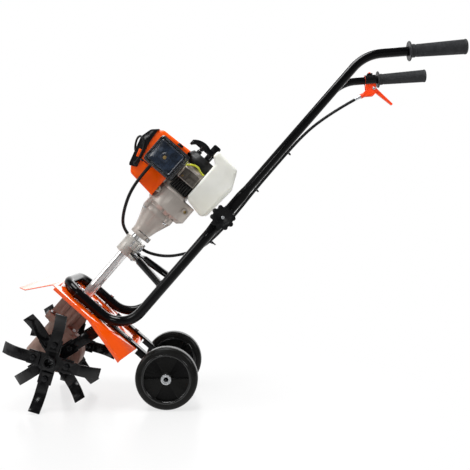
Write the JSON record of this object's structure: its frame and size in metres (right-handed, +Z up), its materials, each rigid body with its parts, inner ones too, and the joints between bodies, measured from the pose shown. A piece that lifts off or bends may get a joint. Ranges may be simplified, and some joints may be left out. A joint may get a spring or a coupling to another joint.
{
  "type": "mini tiller",
  "caption": "Walk-behind mini tiller: small petrol engine on a leaning chrome tube, bent-tine rotor under an orange guard, folding black handlebars, two transport wheels.",
  "frame": {"origin": "on the ground, at the centre of the object's bounding box seen from above", "axes": "+X to the rear, towards the operator; +Y to the operator's right; +Z up from the ground"},
  "size_m": [1.1189, 0.3946, 0.8946],
  "materials": {
    "orange_paint": "gloss powder coat",
    "orange_plastic": "moulded, glossy",
    "black_paint": "gloss powder coat",
    "tine_paint": "satin dip paint",
    "chrome_tube": "bright plated",
    "cast_aluminium": "blasted casting",
    "gearbox_casting": "dull brown-grey casting",
    "steel": "zinc plated",
    "dark_steel": "blackened by heat",
    "flywheel_iron": "as cast",
    "bronze": "machined",
    "black_plastic": "fine moulded grain",
    "wheel_plastic": "satin, worn tread",
    "grip_rubber": "matte, ribbed",
    "conduit_plastic": "satin sheath",
    "tank_plastic": "translucent white",
    "hose_plastic": "clear, tinted",
    "rope_fibre": "braided cord"
  },
  "bodies": {
    "chassis": {"tine_guard": "orange_paint", "top_shroud": "orange_plastic", "lower_frame": "black_paint", "strut_left": "black_paint", "strut_right": "black_paint", "wheel_bracket": "black_paint", "drive_tube": "chrome_tube", "clamp_front": "cast_aluminium", "clamp_rear": "cast_aluminium", "bell_housing": "cast_aluminium", "fan_housing": "cast_aluminium", "crankcase": "cast_aluminium", "cylinder": "cast_aluminium", "carburettor": "cast_aluminium", "gearbox_neck": "gearbox_casting", "gearbox_housing": "gearbox_casting", "gearbox_cover": "gearbox_casting", "frame_bolts": "steel", "joint_bolts": "steel", "housing_screws": "steel", "ball_bearings": "steel", "wheel_axle": "steel", "axle_washers": "steel", "muffler": "dark_steel", "air_filter_base": "black_plastic", "air_filter_cover": "black_plastic", "crankcase_grille": "black_plastic", "shroud_trim": "black_plastic", "starter_housing": "black_plastic", "plug_boot": "grip_rubber", "throttle_conduit": "conduit_plastic", "fuel_tank": "tank_plastic", "fuel_line": "hose_plastic", "starter_rope": "rope_fibre"},
    "rotor": {"tine_shaft": "steel", "worm_wheel": "bronze", "hub_left": "tine_paint", "hub_right": "tine_paint", "tines_left": "tine_paint", "tines_right": "tine_paint", "tine_bolts": "steel"},
    "drive": {"drive_shaft": "steel", "worm_shaft": "steel", "clutch_drum": "steel"},
    "crank": {"crankshaft": "steel", "flywheel": "flywheel_iron", "clutch_shoes": "steel"},
    "wheel_left": {"wheel_left": "wheel_plastic"},
    "wheel_right": {"wheel_right": "wheel_plastic"},
    "handlebar_left": {"handlebar_left": "black_paint", "grip_left": "grip_rubber"},
    "handlebar_right": {"handlebar_right": "black_paint", "grip_right": "grip_rubber", "throttle_bracket": "orange_plastic"},
    "knob_left": {"knob_left": "black_plastic"},
    "knob_right": {"knob_right": "black_plastic"},
    "throttle": {"throttle_lever": "orange_plastic"},
    "starter_pull": {"starter_grip": "black_plastic"},
    "fuel_cap": {"fuel_cap": "black_plastic"},
    "choke": {"choke_lever": "black_plastic"}
  },
  "joints": [
    {"name": "rotor_spin", "type": "hinge", "parent": "chassis", "child": "rotor", "pos_m": [-0.4383, 0, 0.12113], "axis": [0, 1, 0], "continuous": true},
    {"name": "drive_spin", "type": "hinge", "parent": "chassis", "child": "drive", "pos_m": [-0.34482, 0, 0.30488], "axis": [0.6561, 0, 0.7547], "continuous": true},
    {"name": "crank_spin", "type": "hinge", "parent": "chassis", "child": "crank", "pos_m": [-0.12176, 0, 0.56148], "axis": [0.6561, 0, 0.7547], "continuous": true},
    {"name": "wheel_left_spin", "type": "hinge", "parent": "chassis", "child": "wheel_left", "pos_m": [-0.15737, -0.113, 0.077], "axis": [0, 1, 0], "continuous": true},
    {"name": "wheel_right_spin", "type": "hinge", "parent": "chassis", "child": "wheel_right", "pos_m": [-0.15737, 0.113, 0.077], "axis": [0, 1, 0], "continuous": true},
    {"name": "handlebar_left_fold", "type": "hinge", "parent": "chassis", "child": "handlebar_left", "pos_m": [-0.01902, -0.17, 0.47084], "axis": [0, -1, 0], "range_deg": [-12, 125]},
    {"name": "handlebar_right_fold", "type": "hinge", "parent": "chassis", "child": "handlebar_right", "pos_m": [-0.01902, 0.17, 0.47084], "axis": [0, -1, 0], "range_deg": [-12, 125], "deforming": ["throttle_conduit"]},
    {"name": "knob_left_turn", "type": "hinge", "parent": "chassis", "child": "knob_left", "pos_m": [-0.01902, -0.19, 0.47084], "axis": [0, -1, 0], "continuous": true},
    {"name": "knob_right_turn", "type": "hinge", "parent": "chassis", "child": "knob_right", "pos_m": [-0.01902, 0.19, 0.47084], "axis": [0, 1, 0], "continuous": true},
    {"name": "throttle_squeeze", "type": "hinge", "parent": "handlebar_right", "child": "throttle", "pos_m": [0.41059, 0.17, 0.83971], "axis": [0, -1, 0], "range_deg": [0, 24], "stiffness_Nm_per_rad": 0.35, "springref_deg": -17.19},
    {"name": "starter_pull_slide", "type": "slide", "parent": "chassis", "child": "starter_pull", "axis": [0.6561, 0, 0.7547], "range_m": [0, 0.6], "stiffness_N_per_m": 20, "springref_m": -0.4, "deforming": ["starter_rope"]},
    {"name": "fuel_cap_turn", "type": "hinge", "parent": "chassis", "child": "fuel_cap", "pos_m": [-0.019, 0.07, 0.55165], "axis": [0, 1, 0], "continuous": true},
    {"name": "choke_turn", "type": "hinge", "parent": "chassis", "child": "choke", "pos_m": [-0.20353, -0.09, 0.59546], "axis": [0.6561, 0, 0.7547], "range_deg": [0, 50]}
  ],
  "couplings": [
    {"joint": "drive_spin", "follows": "rotor_spin", "ratio": -34}
  ]
}
